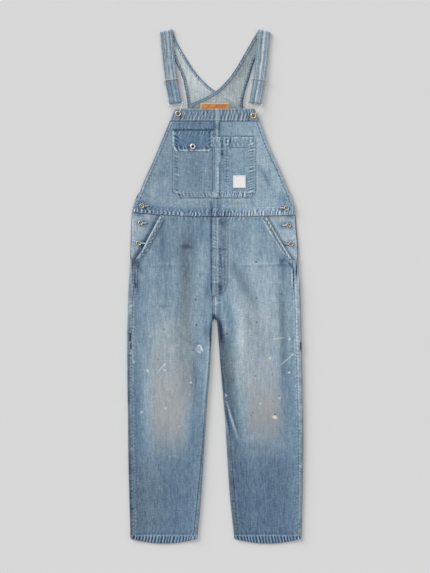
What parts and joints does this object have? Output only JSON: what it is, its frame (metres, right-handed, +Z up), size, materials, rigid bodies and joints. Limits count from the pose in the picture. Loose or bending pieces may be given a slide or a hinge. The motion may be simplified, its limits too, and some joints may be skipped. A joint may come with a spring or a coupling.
{
  "type": "denim dungarees, laid flat",
  "caption": "Worn blue denim dungarees lying flat on their back: bib with pockets and flap, crossed back straps with wire buckles, straight legs, slant hip pockets and buttoned sides.",
  "frame": {"origin": "centre of the bounding box at its lowest level, on the surface that the garment lies on", "axes": "+Y towards the shoulders along the garment's length, +X to the right as one looks down on the front, +Z up off the surface"},
  "size_m": [0.5286, 1.5438, 0.0129],
  "materials": {
    "denim": "washed mid-blue twill, faded thighs and knees, paler along worn edges",
    "dark_denim": "less faded indigo twill with pale worn edges",
    "denim_wrong_side": "pale grey-blue wrong side of the twill",
    "thread": "matt stitching thread",
    "leather": "smooth tan leather",
    "label_cloth": "off-white woven tape",
    "steel": "worn nickel-plated wire and ring",
    "brass": "aged two-tone brass",
    "copper": "aged coppery brass"
  },
  "bodies": {
    "root": {"front_leg_left": "denim", "front_leg_right": "denim", "back_leg_left": "denim", "back_leg_right": "denim", "bib_left": "denim", "bib_right": "denim", "bib_top_band": "denim", "waistband": "denim", "fly_placket": "denim", "hip_band_left": "denim", "hip_band_right": "denim", "hip_facing_left": "denim", "hip_facing_right": "denim", "chest_pocket_left": "denim", "chest_pocket_right": "denim", "bib_centre_strip": "denim", "centre_tab": "denim", "strap_left": "denim", "strap_right": "denim", "yoke_hem_armhole_left": "denim", "yoke_hem_armhole_right": "denim", "yoke_hem_neck_left": "denim", "yoke_hem_neck_right": "denim", "flap_band": "dark_denim", "chest_pocket_flap": "dark_denim", "back_panel": "denim_wrong_side", "back_yoke_left": "denim_wrong_side", "back_yoke_right": "denim_wrong_side", "back_patch": "leather", "pocket_label": "label_cloth", "buckle_left": "steel", "buckle_right": "steel", "slider_left": "steel", "slider_right": "steel", "flap_button": "steel", "bib_button_left": "brass", "bib_button_right": "brass", "side_button_left_1": "copper", "side_button_left_2": "copper", "side_button_left_3": "copper", "side_button_right_1": "copper", "side_button_right_2": "copper", "side_button_right_3": "copper"}
  },
  "joints": []
}
